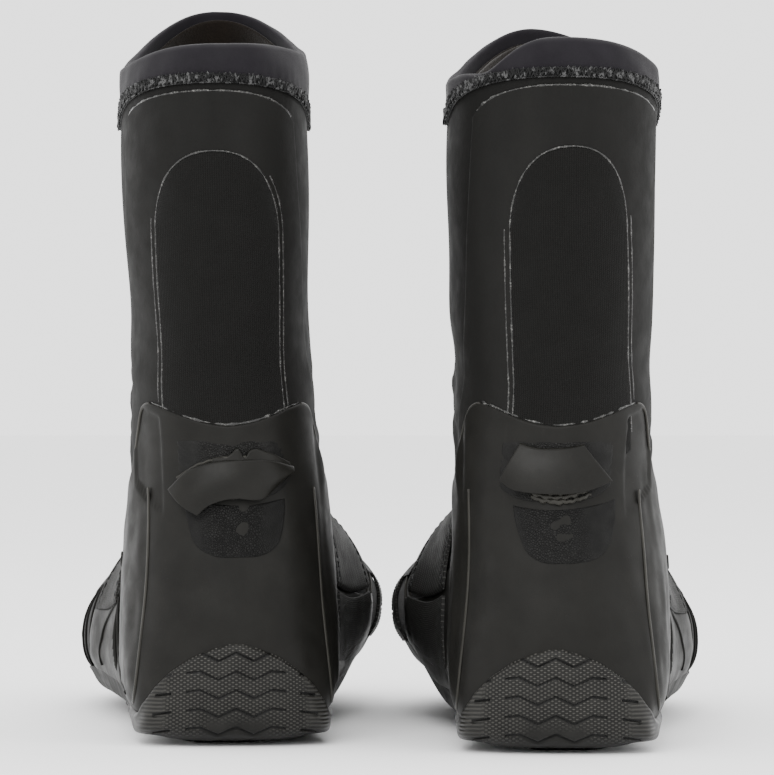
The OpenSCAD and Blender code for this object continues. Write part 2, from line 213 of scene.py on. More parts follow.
def lattice(n, length, r=.7):
    """Lines from 0 to 1, closer together at both ends so that an edge can be rounded."""
    ends = np.array([0, .15, .4, .75, 1.15]) * r / length
    base = np.linspace(0, 1, n + 1)
    return np.concatenate([ends, base[(base > ends[-1] * 1.3) & (base < 1 - ends[-1] * 1.3)], 1 - ends[::-1]])


def mesh_object(name, verts, faces, uv=None, mats=(), index=None, weld=False):
    """A smooth-shaded object from millimetre points, with its mm UV map and a material for each face."""
    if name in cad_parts:
        name += "_visual"
    mesh = bpy.data.meshes.new(name)
    mesh.from_pydata((np.asarray(verts) * MM).tolist(), [], faces)
    if uv is not None:
        layer = mesh.uv_layers.new(name="mm")
        loops = np.zeros(len(mesh.loops), np.int32)
        mesh.loops.foreach_get("vertex_index", loops)
        layer.data.foreach_set("uv", np.asarray(uv, np.float32)[loops].ravel())
    for m in mats:
        mesh.materials.append(m)
    if index is not None:
        mesh.polygons.foreach_set("material_index", np.asarray(index, np.int32))
    mesh.polygons.foreach_set("use_smooth", np.ones(len(mesh.polygons), bool))
    mesh.update()
    if weld:
        bm = bmesh.new()
        bm.from_mesh(mesh)
        bmesh.ops.remove_doubles(bm, verts=bm.verts, dist=1e-7)
        bm.to_mesh(mesh)
        bm.free()
    obj = bpy.data.objects.new(name, mesh)
    bpy.context.scene.collection.objects.link(obj)
    return obj


def path_lengths(p, axis):
    """Distance run so far at each point along an axis of an array of points."""
    step = np.linalg.norm(np.diff(p, axis=axis), axis=-1)
    pad = [(0, 0)] * step.ndim
    pad[axis] = (1, 0)
    return np.cumsum(np.pad(step, pad), axis=axis)


def thin_faces(rows, cols, pole=False, wrap=False):
    """Faces of a closed thin piece: a front grid of points, a back grid after it, and the walls between."""
    size = rows * cols
    j, i = np.meshgrid(np.arange(rows - 1), np.arange(cols - 1), indexing="ij")
    k = (j * cols + i).ravel()
    front = np.stack([k, k + 1, k + cols + 1, k + cols], -1)
    c, last = np.arange(cols - 1), (rows - 1) * cols
    walls = [] if pole else [np.stack([c + 1, c, c + size, c + 1 + size], -1)]
    walls.append(np.stack([c + last, c + 1 + last, c + 1 + last + size, c + last + size], -1))
    if not wrap:
        k = np.arange(rows - 1) * cols
        walls.append(np.stack([k, k + cols, k + cols + size, k + size], -1))
        k = k + cols - 1
        walls.append(np.stack([k + cols, k, k + size, k + cols + size], -1))
    return np.concatenate([front, front[:, ::-1] + size] + walls).tolist()


def outward(b, faces):
    """Turns a mirrored boot's faces back outwards."""
    return [f[::-1] for f in faces] if BOOTS[b][0] < 0 else faces


def shell(name, b, us, vs, shape, low, high, mats, wrap=False, pole=False, r=.6, lift=None, warp=None,
          index=None):
    """Closed thin piece between two offsets of the form, with edges rounded to r.

    shape(u, v) gives t and a. low and high are numbers or functions of u and v. lift(t, a, su, sv) adds
    to the outer offset, su and sv being mm along the piece. warp moves the points at the end. index(t, a)
    picks a face's material. wrap joins the two sides, and pole closes the first row to a point.
    """
    u, v = np.meshgrid(us, vs)
    t, a = np.broadcast_arrays(*shape(u, v))
    lo, hi = (np.broadcast_to(np.asarray(f(u, v) if callable(f) else f, float), t.shape) + 0.0
              for f in (low, high))
    rows, cols = t.shape
    mid = 0 if wrap else np.argmin(np.abs(a[rows // 2]))
    base = at(b, t, a, hi)
    su, sv = path_lengths(base, 1), path_lengths(base, 0)
    if lift is not None:
        hi = hi + lift(t, a, su - su[:, mid, None], sv)
    edge = sv[-1] - sv
    if not pole:
        edge = np.minimum(edge, sv)
    if not wrap:
        edge = np.minimum(edge, np.minimum(su, su[:, -1:] - su))
    rr = np.clip(np.minimum(r, (hi - lo) * .48), .01, None)
    short = rr - np.clip(edge, 0, rr)
    bevel = rr - np.sqrt(np.maximum(rr ** 2 - short ** 2, 0))
    outer, inner = at(b, t, a, hi - bevel), at(b, t, a, lo + bevel * .5)
    if warp is not None:
        outer, inner = warp(outer), warp(inner)
    verts = np.concatenate([outer.reshape(-1, 3), inner.reshape(-1, 3)])
    uv = np.stack([su - su[:, mid, None], sv], -1).reshape(-1, 2)
    uv = np.concatenate([uv, uv])
    faces = thin_faces(rows, cols, pole, wrap)
    if pole:
        size = rows * cols
        tips = np.stack([outer[0].mean(0), inner[0].mean(0)])
        verts, uv = np.concatenate([verts, tips]), np.concatenate([uv, [[0, 0], [0, 0]]])
        faces += [[k + 1, k, 2 * size] for k in range(cols - 1)]
        faces += [[k + size, k + 1 + size, 2 * size + 1] for k in range(cols - 1)]
    which = None
    if index is not None:
        which = np.zeros(len(faces), np.int32)
        which[:(rows - 1) * (cols - 1)] = index(t, a)[:-1, :-1].ravel()
    return mesh_object(name, verts, outward(b, faces), uv, mats, which, weld=wrap)


def tube(p, radius, sides, flat, up, closed):
    """Vertices and faces of a tube along the points p. flat squashes it towards up."""
    n = len(p)
    tan = np.roll(p, -1, 0) - np.roll(p, 1, 0)
    if not closed:
        tan[0], tan[-1] = p[1] - p[0], p[-1] - p[-2]
    tan /= np.linalg.norm(tan, axis=1)[:, None] + 1e-12
    side = np.cross(tan, up)
    side /= np.linalg.norm(side, axis=1)[:, None] + 1e-12
    nor = np.cross(side, tan)
    rad = np.broadcast_to(np.asarray(radius, float), (n,))[:, None]
    ang = np.arange(sides) * 2 * math.pi / sides
    ring = [p + rad * (side * math.cos(g) + nor * math.sin(g) * flat) for g in ang]
    verts = np.stack(ring, 1).reshape(-1, 3)
    faces = []
    for k in range(n if closed else n - 1):
        k2 = (k + 1) % n
        for s in range(sides):
            s2 = (s + 1) % sides
            faces.append([k * sides + s, k * sides + s2, k2 * sides + s2, k2 * sides + s])
    if not closed:
        faces += [list(range(sides))[::-1], [(n - 1) * sides + s for s in range(sides)]]
    return verts, faces


def join(parts):
    """One list of vertices and one of faces from several."""
    verts, faces, base = [], [], 0
    for v, f in parts:
        verts.append(v)
        faces += [[k + base for k in q] for q in f]
        base += len(v)
    return np.concatenate(verts), faces


def on_form(b, t, a, off, h=.5):
    """Points on the form and the outward direction there."""
    p = at(b, t, a, off)
    q = at(b, t, a, np.asarray(off) + h) - p
    return p, q / (np.linalg.norm(q, axis=-1, keepdims=True) + 1e-9)


# ---------------------------------------------------------------- materials

DARKEN, SHINE = .52, .2   # share kept of every base colour and of every specular level


class Nodes:
    """A material under construction. Heights are in millimetres."""

    def __init__(self, name):
        self.mat = bpy.data.materials.new(name)
        self.mat.use_nodes = True
        self.tree = self.mat.node_tree
        self.bsdf = self.tree.nodes["Principled BSDF"]
        self.obj = self.add("TexCoord").outputs["Object"]
        uv = self.add("SeparateXYZ", {0: self.add("UVMap", uv_map="mm").outputs[0]})
        self.u, self.v = uv.outputs[0], uv.outputs[1]
        xyz = self.add("SeparateXYZ", {0: self.obj})
        self.x, self.y, self.z = (self.math("MULTIPLY", xyz.outputs[k], 1000) for k in range(3))

    def add(self, kind, inputs=None, **props):
        node = self.tree.nodes.new("ShaderNode" + kind)
        for key, value in props.items():
            setattr(node, key, value)
        for key, value in (inputs or {}).items():
            self.put(value, node.inputs[key])
        return node

    def put(self, value, socket):
        if isinstance(value, bpy.types.NodeSocket):
            self.tree.links.new(value, socket)
        else:
            socket.default_value = value

    def math(self, op, a, b=0.0, c=0.0):
        return self.add("Math", {0: a, 1: b, 2: c}, operation=op).outputs[0]

    def mul(self, a, b):
        return self.math("MULTIPLY", a, b)

    def mad(self, a, b, c):
        """a times b, plus c."""
        return self.math("MULTIPLY_ADD", a, b, c)

    def noise(self, size, detail=3, rough=.55, stretch=None):
        """Noise 0 to 1 with features of that size in mm."""
        vec = self.obj
        if stretch:
            vec = self.add("Mapping", {0: self.obj, "Scale": stretch}).outputs[0]
        return self.add("TexNoise", {"Vector": vec, "Scale": 1000 / size, "Detail": detail,
                                     "Roughness": rough}).outputs["Fac"]

    def ramp(self, fac, *stops):
        node = self.add("ValToRGB", {0: fac})
        el = node.color_ramp.elements
        while len(el) < len(stops):
            el.new(.5)
        for e, (pos, col) in zip(el, stops):
            e.position = pos
            e.color = (*col, 1) if hasattr(col, "__len__") else (col, col, col, 1)
        return node.outputs[0]

    def span(self, x, a, b, c=0.0, d=1.0):
        """x from a..b mapped to c..d, held at the ends, smoothly."""
        ends = {0: x, 1: a, 2: b, 3: c, 4: d}
        return self.add("MapRange", ends, interpolation_type="SMOOTHSTEP").outputs[0]

    def sine(self, x, pitch, phase=0.0):
        return self.math("SINE", self.mad(x, 2 * math.pi / pitch, phase))

    def fade(self, a, b, f):
        """From a to b at share f."""
        return self.math("ADD", a, self.mul(self.math("SUBTRACT", b, a), f))

    def finish(self, dark, light, tone, height, rough, spec=.5, sheen=0.0, coat=0.0, contrast=(.25, .75)):
        """Colour from dark to light by tone, bump by height, and a roughness that wanders within a range."""
        dark, light = (tuple(c * DARKEN for c in q) for q in (dark, light))
        self.put(self.ramp(tone, (contrast[0], dark), (contrast[1], light)), self.bsdf.inputs["Base Color"])
        self.put(self.span(self.noise(9, 4), .3, .7, *rough), self.bsdf.inputs["Roughness"])
        self.bsdf.inputs["Specular IOR Level"].default_value = spec * SHINE
        self.bsdf.inputs["Sheen Weight"].default_value = sheen
        self.bsdf.inputs["Sheen Roughness"].default_value = .45
        self.bsdf.inputs["Coat Weight"].default_value = coat
        self.bsdf.inputs["Coat Roughness"].default_value = .25
        bump = self.add("Bump", {"Height": height, "Distance": MM, "Strength": 1.0})
        self.put(bump.outputs[0], self.bsdf.inputs["Normal"])
        return self.mat


def grey(v, warm=.06):
    """A slightly warm grey of that strength."""
    return (v * (1 + warm * .3), v, v * (1 - warm))


def smooth_skin(name, lo=.010, hi=.019, rough=(.55, .68), depth=.035, warm=.07):
    """Neoprene with its closed skin: satin, finely pored, faintly smudged."""
    k = Nodes(name)
    pore = k.noise(.55, 2)
    cloud = k.noise(26, 4, stretch=(1, 1, .35))
    tone = k.mad(pore, .35, k.mul(cloud, .65))
    height = k.mad(pore, depth, k.mul(k.noise(3.2, 2), depth * 2.2))
    return k.finish(grey(lo, warm), grey(hi, warm), tone, height, rough, spec=.3)


def jersey(name, lo=.0045, hi=.014, pitch=.8, sheen=.25):
    """Knitted nylon face: wales and courses with loose fibre."""
    k = Nodes(name)
    wale = k.sine(k.u, pitch)
    course = k.sine(k.math("ADD", k.v, k.mul(wale, pitch * .22)), pitch * .8)
    knit = k.mul(k.math("ADD", wale, course), .25)
    fuzz = k.noise(.4, 2)
    tone = k.math("ADD", k.mad(knit, .35, .25), k.mul(fuzz, .5))
    height = k.mad(fuzz, .09, k.mul(knit, .12))
    return k.finish(grey(lo), grey(hi), tone, height, (.78, .92), spec=.2, sheen=sheen)


def dotted(name, pitch=1.7, lo=.010, hi=.035):
    """Coated fabric printed with small raised dots."""
    k = Nodes(name)
    dots = k.mul(k.sine(k.u, pitch), k.sine(k.v, pitch))
    bead = k.span(dots, .25, .8)
    tone = k.mad(bead, .6, k.mul(k.noise(.8), .4))
    height = k.mad(bead, .22, k.mul(k.noise(.5), .05))
    return k.finish(grey(lo), grey(hi), tone, height, (.5, .65), spec=.4)


def overlay_rubber(name, lo=.009, hi=.021, rough=(.42, .56), warm=.13):
    """Moulded rubber sheet with faint flow marks, scuffs and specks."""
    k = Nodes(name)
    grain, flow = k.noise(.45, 2), k.noise(14, 5, .6)
    speck = k.span(k.noise(1.1, 2), .70, .76)
    scuff = k.span(k.noise(5, 4, .7, stretch=(1, 1, .15)), .62, .74)
    tone = k.mad(grain, .25, k.mul(flow, .6))
    tone = k.math("ADD", tone, k.mul(k.math("ADD", speck, scuff), .10))
    height = k.mad(grain, .03, k.mul(flow, .10))
    height = k.mad(speck, .04, height)
    return k.finish(grey(lo, warm), grey(hi, warm), tone, height, rough, spec=.5)


def crackled(name, lo=.006, hi=.017):
    """Rubber with a fine crackled skin in the middle of the piece, plainer towards its sides."""
    k = Nodes(name)
    vor = k.add("TexVoronoi", {"Vector": k.obj, "Scale": 1250.0}, feature="DISTANCE_TO_EDGE").outputs[0]
    cell = k.span(vor, 0.0, .22)
    mid = k.span(k.math("ABSOLUTE", k.u), 6, 15, 1, .15)
    height = k.mul(k.mul(cell, .3), mid)
    tone = k.mad(k.mul(cell, mid), .4, k.mul(k.noise(6), .6))
    return k.finish(grey(lo), grey(hi), tone, height, (.4, .55), spec=.5)


ROW, WAVE, SWING = 6.57, 12.4, 1.45             # sipe rows: pitch, zigzag period and half height
SIPE_Z = 5.75                                   # height of the lowest row
SLOPE = .12                                     # fall of a row beyond its last peak
ZIG_END, DASH_IN, DASH_OUT = 17.0, 22.6, 28.6   # distances from the middle, across the heel
HEEL_BACK = (-105, -85)                         # y over which the heel's pattern fades away forwards
BEAD_WIDE, BEAD_HIGH = 2.4, 1.4                 # pitches of the diamond grid


def sole_rubber(name, heel=True):
    """Fine diamond grid cut by zigzag sipes, running out to thin ribs and plain rubber at the corners. The
    raised beads and ribs are painted lighter as their highlights and the sipes darker as the shade in them.
    """
    k = Nodes(name)
    across, up = (k.u, k.z) if heel else (k.x, k.y)
    reach = k.math("ABSOLUTE", across)
    if heel:
        wave = k.math("SUBTRACT", WAVE / 4, k.math("PINGPONG", reach, WAVE / 2))
        zig = k.mul(wave, 4 * SWING / WAVE)
        slope = k.mad(k.math("SUBTRACT", reach, WAVE), -SLOPE, SWING)
        zig = k.fade(zig, slope, k.math("GREATER_THAN", reach, WAVE))
        line = k.math("SUBTRACT", k.math("SUBTRACT", up, zig), SIPE_Z)
        turn = k.math("FLOORED_MODULO", k.math("ADD", line, ROW / 2), ROW)
        near = k.math("ABSOLUTE", k.math("SUBTRACT", turn, ROW / 2))
        cut = k.span(near, .22, .5, 1, 0)
        middle = k.span(reach, ZIG_END, ZIG_END + .6, 1, 0)
        dash = k.mul(k.span(reach, DASH_IN, DASH_IN + .6), k.span(reach, DASH_OUT, DASH_OUT + .6, 1, 0))
        cut = k.mul(cut, k.math("ADD", middle, dash))
        cut = k.mul(cut, k.span(up, 3, 5))
        low = k.mul(k.span(up, 7, 15, 1, 0), k.span(reach, 8, 16, 1, 0))
        centre = k.mul(k.span(reach, 23, 27, 1, 0), k.math("SUBTRACT", 1.0, low))
        centre = k.mul(centre, k.span(up, 3, 7))
        outer = k.mul(k.span(reach, 23, 27), k.span(reach, 32, 36, 1, 0))
        outer = k.mul(outer, k.span(up, 4, 8))
        back = k.span(k.y, *HEEL_BACK, 1, 0)
        centre, outer, cut = (k.mul(q, back) for q in (centre, outer, cut))
    else:
        cut, centre, outer = 0.0, 1.0, 0.0
    grid = k.mul(k.sine(across, BEAD_WIDE, math.pi / 2), k.sine(up, BEAD_HIGH, math.pi / 2))
    beads = k.mul(k.span(grid, .0, .7), centre)
    ribs = k.mul(k.mad(k.sine(up, BEAD_HIGH), .5, .5), outer)
    grip = k.math("ADD", beads, k.mul(ribs, .5))
    solid = k.math("SUBTRACT", 1.0, cut)
    height = k.mul(k.mul(grip, .6), solid)
    height = k.mad(k.noise(.5, 2), .035, height)
    # bead and rib tops painted lighter: a painted highlight
    tone = k.mad(grip, .62, k.mul(k.noise(9, 4), .24))
    # sipe lines painted darker: painted shade in the grooves
    tone = k.math("SUBTRACT", k.mad(k.noise(.6), .12, tone), k.mul(cut, .9))
    return k.finish(grey(.004, .1), grey(.115, .1), tone, height, (.34, .47), spec=.7, contrast=(.08, 1.0))


def brushed(name, lo, hi, size=.5, sheen=.5, rough=(.8, .95), depth=.12, tint=(1, 1, 1)):
    """Soft napped cloth: fleece or the cuff's brushed face."""
    k = Nodes(name)
    nap, cloud = k.noise(size, 4, .7), k.noise(12, 3)
    tone = k.mad(nap, .55, k.mul(cloud, .45))
    height = k.mul(nap, depth)
    dark, light = (tuple(c * v for c in tint) for v in (lo, hi))
    return k.finish(dark, light, tone, height, rough, spec=.3, sheen=sheen)


def thread(name, lo=.012, hi=.2):
    """Twisted glossy polyester yarn, black; the light ply stripes and specks in its colour are painted
    glints.
    """
    k = Nodes(name)
    ply = k.mad(k.sine(k.math("ADD", k.z, k.mul(k.x, .7)), .32), .5, .5)
    # ply stripes and noise specks lighten the black thread as painted glints
    tone = k.mad(ply, .5, k.mul(k.noise(.5, 2), .5))
    tone = k.mul(tone, k.span(k.noise(2.2, 3), .42, .62))
    return k.finish(grey(lo, 0), grey(hi, 0), tone, k.mul(ply, .05), (.25, .4), spec=.6)


def glue(name, lo=.012, hi=.6):
    """Thin bead of clear seam glue over stitches: its glints are painted into its colour as light specks."""
    k = Nodes(name)
    speck, break_up = k.noise(.8, 3, .7), k.noise(3.5, 3, .6)
    # light specks are painted glints on the clear glue
    tone = k.mul(k.span(speck, .46, .64), k.span(break_up, .38, .62, .25, 1))
    height = k.mul(speck, .25)
    return k.finish(grey(lo), grey(hi), tone, height, (.18, .35), spec=.7, coat=.4, contrast=(.05, 1.0))


MATS = {
    "skin": smooth_skin("smooth_skin"),
    "skin_front": smooth_skin("smooth_skin_front", .0075, .015, (.58, .7)),
    "jersey": jersey("calf_jersey", .0055, .019, .8, .04),
    "foot_jersey": jersey("foot_jersey", .008, .03, 1.0, .1),
    "dotted": dotted("dotted_fabric"),
    "overlay": overlay_rubber("overlay_rubber"),
    "bumper": overlay_rubber("bumper_rubber", .007, .018, (.5, .66)),
    "patch": crackled("crackled_patch"),
    "tab_root": crackled("tab_root_rubber", .009, .021),
    "tab": overlay_rubber("tab_rubber", .010, .024, (.30, .42)),
    "strap": dotted("strap_face", 1.5, .018, .09),
    "strip": dotted("side_strip", 1.2, .03, .13),
    "hook": brushed("hook_tape", .003, .012, .7, .2, (.6, .8), .3),
    "sole": sole_rubber("sole_rubber_heel"),
    "tread": sole_rubber("sole_rubber_tread", heel=False),
    "foam": brushed("insole_cloth", .008, .02, .6),
    "cuff": brushed("soft_cuff", .011, .023, .45, .08, (.66, .82), .06, (1.03, .92, 1.12)),
    "fleece": brushed("fleece_lining", .004, .014, .8, .15, (.85, .98), .3, (1.3, .95, .66)),
    "thread": thread("overlock_thread"),
    "band": brushed("stitch_band", .003, .010, .5, .2, (.5, .7), .15),
    # both glue materials carry painted glints as light specks
    "glue": glue("seam_glue", .012, .35),
    "edge_glue": glue("edge_glue", .018, .2),
    # lighter rubber for raised ridges and glue lips: its light colour is a painted highlight
    "painted_highlight": overlay_rubber("painted_highlight_rubber", .03, .07, (.28, .4)),
}


# ---------------------------------------------------------------- fitting pieces to bodies

ANKLE_BEND = ("leg", .116, .165)   # the body and the heights (m) of a bend between bodies; fit reads only whether one is given, and bends nothing
TAB_BEND = ("tab", .081, .093)


def fit(obj, b, nodes=(), body="foot", bend=None):
    """Puts a piece on its body or, when a bend is given, only bakes its transform and leaves it unparented;
    hides the CAD parts it replaces.
    """
    side = SIDES[b]
    if bend:
        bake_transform(obj)
    else:
        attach(obj, f"{SIDES[b]}_{body}")
    if nodes:
        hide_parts(*[f"{SIDES[b]}_{n}" for n in nodes])


def bead(name, b, paths, radius, mat, flat=.6, sides=6, rough=0.0, seed=1, closed=False):
    """Rounded threads or beads lying on the form. Each path holds t, a and offset arrays."""
    parts, uvs = [], []
    for k, (t, a, off) in enumerate(paths):
        p, n = on_form(b, t, a, off)
        run = path_lengths(p, 0)
        rad = radius * (1 + rough * np.clip(waves(run, run * .3, seed + k, 5), -1, 1.3))
        parts.append(tube(p, rad, sides, flat, n, closed))
        uvs.append(np.stack([np.repeat(run, sides), np.tile(np.arange(sides) * radius, len(run))], -1))
    verts, faces = join(parts)
    return mesh_object(name, verts, faces, np.concatenate(uvs), [mat])


def trim(name, b, paths, radius, mat, nodes=(), body="foot", slot=None, bend=None, **look):
    """A bead of that name for one side, fitted."""
    obj = bead(f"{SIDES[b]}_{name}", b, paths, radius, MATS[mat], **look)
    fit(obj, b, nodes, body, bend=bend)


def piece(name, b, us, vs, shape, low, high, mats, nodes=None, body="foot", slot=None, soft=False, bend=None,
          **look):
    """A shell of that name for one side, fitted. It replaces the node of its name unless nodes is given."""
    obj = shell(f"{SIDES[b]}_{name}", b, us, vs, shape, low, high, [MATS[m] for m in mats], **look)
    fit(obj, b, (name,) if nodes is None else nodes, body, bend)


# ---------------------------------------------------------------- foot pieces

FOOT_TOP = 9.6   # section number where the fabric vamp meets the smooth ankle


def upper(b):
    """Neoprene boot from toe to cuff seam: knitted vamp, smooth ankle and leg, creased over the instep."""
    vs = np.concatenate([[0, .08, .2, .35], np.arange(.5, FOOT_TOP - .05, .15),
                         np.arange(FOOT_TOP, LEG_START, .12), np.linspace(LEG_START, 17, 46)])

    def shape(u, v):
        a = 360 * u
        share = (v - LEG_START) / (17 - LEG_START)
        return np.where(v <= LEG_START, v, LEG_START + share * (seam_t(a) + .04 - LEG_START)), a

    def crease(t, a, *_):
        fold = ease((t - 9.3) / 1.2) * (1 - ease((t - 12.8) / 1.6))
        fold = fold * ease((60 - np.abs(np.abs(a - 180) - 60)) / 40)
        return .8 * fold * waves(.5 * a, 30 * t, 31 + b, 16)

    piece("upper", b, np.linspace(0, 1, 121), vs, shape, -4, 0, ["foot_jersey", "skin_front"], wrap=True,
          pole=True, lift=crease, index=lambda t, a: (t >= FOOT_TOP - .01).astype(int),
          nodes=("foot_shell", "ankle_gusset", "leg_front_panel"), slot="smoothskin_neoprene", soft=True,
          bend=ANKLE_BEND)


def lining(b):
    """Fleece inside the whole boot, up to just under the rim."""
    vs = np.concatenate([[0, .1], np.arange(.3, 18, .28), [18.0]])

    def shape(u, v):
        a = 360 * u
        share = (v - LEG_START) / (18 - LEG_START)
        return np.where(v <= LEG_START, .6 + v * .951, LEG_START + share * (rim_t(b, a) - .2 - LEG_START)), a

    piece("lining", b, np.linspace(0, 1, 91), vs, shape, -5.2, -4.6, ["fleece"], wrap=True, pole=True,
          r=.25, nodes=("foot_lining", "leg_lining"), slot="fleece_lining", soft=True, bend=ANKLE_BEND)


def sole_drop(z):
    """The sole rolls down to the floor a little lower than the form does."""
    return z - 2.4 * (1 - ease((z - 2) / 22))


CUP_EDGE = [  # t, and how many degrees up the side the cup reaches
    (.6, 60), (1.3, 62), (2, 64), (3, 66), (6, 66), (7, 63), (8, 60), (9, 55.5), (9.6, 49.5), (10.08, 44),
    (10.4, 36), (10.62, 28.5), (10.85, 18), (10.98, 9), (11.05, 2)]


def sipes(across, z):
    """1 on a sipe line, 0 away from it: the zigzags and dashes that sole_rubber draws."""
    across = np.abs(across)
    wave = WAVE / 4 - (WAVE / 2 - np.abs(across % WAVE - WAVE / 2))
    zig = np.where(across > WAVE, SWING - (across - WAVE) * SLOPE, wave * 4 * SWING / WAVE)
    near = np.abs((z - zig - SIPE_Z + ROW / 2) % ROW - ROW / 2)
    ends = 1 - ease((across - ZIG_END) / .6)
    dash = ease((across - DASH_IN) / .6) * (1 - ease((across - DASH_OUT) / .6))
    return (1 - ease((near - .2) / .4)) * (ends + dash) * ease((z - 3) / 2)


def sole_cup(b):
    """Rubber cup under the foot and up the heel, its sipes cut as real grooves."""
    vs = np.concatenate([np.arange(.6, 9.2, .16), np.linspace(9.2, 11.05, 150)])
    us = np.linspace(-1, 1, 231)

    def shape(u, v):
        return v, u * lookup(v, CUP_EDGE)

    def lift(t, a, su, _):
        z = sole_drop(at(b, t, a, 3.2)[..., 2])
        heel = ease((t - 9.25) / .15)
        bulge = .5 * ease((t - 9.4) / .5)
        rim = ease((1 - np.abs(a) / lookup(t, CUP_EDGE)) / .3)
        corner = rim * ease((np.abs(a) - 22) / 20) * ease((t - 8.7) / .7) * ease((26 - z) / 15)
        return bulge + 2.6 * corner - .8 * heel * sipes(su, z)

    def warp(p):
        q = p.copy()
        q[..., 2] = sole_drop(p[..., 2])
        return q

    def high(u, v):
        return 3.0 - 1.9 * ease((9.3 - v) / 1.2) * ease((np.abs(u) - .72) / .26)

    piece("sole_cup", b, us, vs, shape, -.2, high, ["sole", "bumper"], r=.9, lift=lift, warp=warp,
          index=lambda t, a: (t < 9.0).astype(int), slot="sole_rubber")


def plan_outline(v, inset, sgn):
    """x and y of the foot's outline in plan, on one side, at share v of its length from the heel."""
    t = 9.4 - 7.8 * v
    r = row(t)
    reach = np.minimum(r[..., 0], 284) - np.where(t < 2, inset * .4, 0)
    half = (r[..., 4] if sgn > 0 else r[..., 5] * .9) - inset
    return sgn * half - 7 * ease((reach - 60) / 130), reach


def plan_piece(name, b, inset, low, high, across, rows, mat, bottom):
    """Flat closed piece with the foot's outline, its underside shaped by a function of local x and y."""
    v, u = np.meshgrid(np.linspace(0, 1, rows), np.linspace(0, 1, across), indexing="ij")
    (x1, y), (x0, _) = plan_outline(v, inset, 1), plan_outline(v, inset, -1)
    end = np.minimum(v, 1 - v) * 240
    taper = np.where(v < .5, .35 + .65 * np.sqrt(1 - (1 - np.clip(end / 26, 0, 1)) ** 2),
                     .5 + .5 * np.sqrt(1 - (1 - np.clip(end / 14, 0, 1)) ** 2))
    x = (x0 + x1) / 2 + (u - .5) * (x1 - x0) * taper
    edge = np.minimum(np.minimum(u, 1 - u) * (x1 - x0), end)
    soft = 1 - np.sqrt(np.maximum(0, 1 - (1 - np.clip(edge / 1.0, 0, 1)) ** 2))
    zt = high - soft * .4 * (high - low)
    zb = low + bottom(x, y) + soft * .4 * (high - low)
    verts = np.concatenate([place(b, np.stack([x, y, z], -1)).reshape(-1, 3) for z in (zt, zb)])
    uv = np.stack([x, y], -1).reshape(-1, 2)
    return mesh_object(name, verts, outward(b, thin_faces(rows, across)), np.concatenate([uv, uv]), [mat])


def tread(b):
    """Flat tread under the cup with zigzag grooves across it."""
    def grooves(x, y):
        zig = (np.abs((np.abs(x) % WAVE) - WAVE / 2) - WAVE / 4) * 4 * SWING / WAVE
        near = np.abs((y + zig) % ROW - ROW / 2)
        return 1.1 * (1 - ease((near - .35) / .5))

    obj = plan_piece(f"{SIDES[b]}_tread_plate", b, 17, 0, 2.6, 65, 300, MATS["tread"], grooves)
    fit(obj, b, ("tread_plate",))


def insole(b):
    """Soft footbed following the bottom of the boot."""
    piece("insole", b, np.linspace(-46, 46, 41), np.linspace(1.4, 9.5, 60), lambda u, v: (v, u), -8.3, -5.5,
          ["foam"], r=1, lift=lambda t, a, su, sv: -.35 * waves(su, sv, 41 + b, 60), slot="insole_foam",
          soft=True)


def bumper(b):
    """Rubber toe cap that feathers into the vamp."""
    vs = [0, .06, .14, .25, .4, .55, .7, .85, 1, 1.1, 1.2, 1.3, 1.38, 1.44, 1.48, 1.5]
    piece("toe_bumper", b, np.linspace(0, 1, 91), vs, lambda u, v: (v, 360 * u), .1,
          lambda u, v: 4.6 - 3.9 * ease((v - .9) / .75), ["bumper"], wrap=True, pole=True, r=.5,
          slot="overlay_rubber")


COUNTER = [  # share, lower t, lower a, upper t, upper a: from the back line out to the front of a wing
    (0, 10.85, 0, 13.60, 0), (.10, 10.8, 10, 13.64, 14), (.20, 10.65, 19, 13.70, 28),
    (.30, 10.45, 30, 13.73, 43), (.36, 10.2, 36, 13.68, 53), (.41, 10.0, 41, 13.48, 60),
    (.46, 9.7, 46, 13.05, 65.5), (.52, 9.3, 50, 12.5, 73),
    (.60, 8.7, 54, 11.95, 85), (.68, 8.2, 56, 11.15, 94), (.76, 7.6, 60, 10.1, 102), (.85, 7.2, 62, 9.0, 113),
    (.93, 6.4, 64, 7.5, 108), (1, 5.8, 66, 6.0, 98)]


ARC, SHIFT = 20.0, 8.0                    # the window's two arcs: radius, and centre off its middle
WINDOW_Y, WINDOW_Z, WINDOW_TILT = 92, 39, 6


def window_cutter(b):
    """Prism through the outer wing, pointed at both ends, as in the CAD."""
    half = math.acos(SHIFT / ARC)
    arc = [(ARC * math.cos(g) - SHIFT, ARC * math.sin(g)) for g in np.linspace(-half, half, 28)]
    flat = np.array(arc + [(-x, -y) for x, y in arc[1:-1]])
    c, s = math.cos(math.radians(WINDOW_TILT)), math.sin(math.radians(WINDOW_TILT))
    y, z = WINDOW_Y + flat[:, 0] * c - flat[:, 1] * s, WINDOW_Z + flat[:, 0] * s + flat[:, 1] * c
    n = len(flat)
    verts = np.concatenate([place(b, np.stack([np.full(n, x), y, z], -1)) for x in (18.0, 62.0)])
    k = np.arange(n)
    walls = np.stack([k, (k + 1) % n, (k + 1) % n + n, k + n], -1)
    faces = walls.tolist() + [k[::-1].tolist(), (k + n).tolist()]
    obj = mesh_object("window_cutter", verts, faces)
    bm = bmesh.new()
    bm.from_mesh(obj.data)
    bmesh.ops.recalc_face_normals(bm, faces=bm.faces)
    bm.to_mesh(obj.data)
    bm.free()
    return obj


def cut(obj, tool):
    """Leaves the tool's shape out of obj's mesh."""
    mod = obj.modifiers.new("cut", "BOOLEAN")
    mod.operation, mod.solver, mod.object = "DIFFERENCE", "EXACT", tool
    mesh = bpy.data.meshes.new_from_object(obj.evaluated_get(bpy.context.evaluated_depsgraph_get()))
    obj.modifiers.remove(mod)
    obj.data = mesh
    bpy.data.objects.remove(tool)


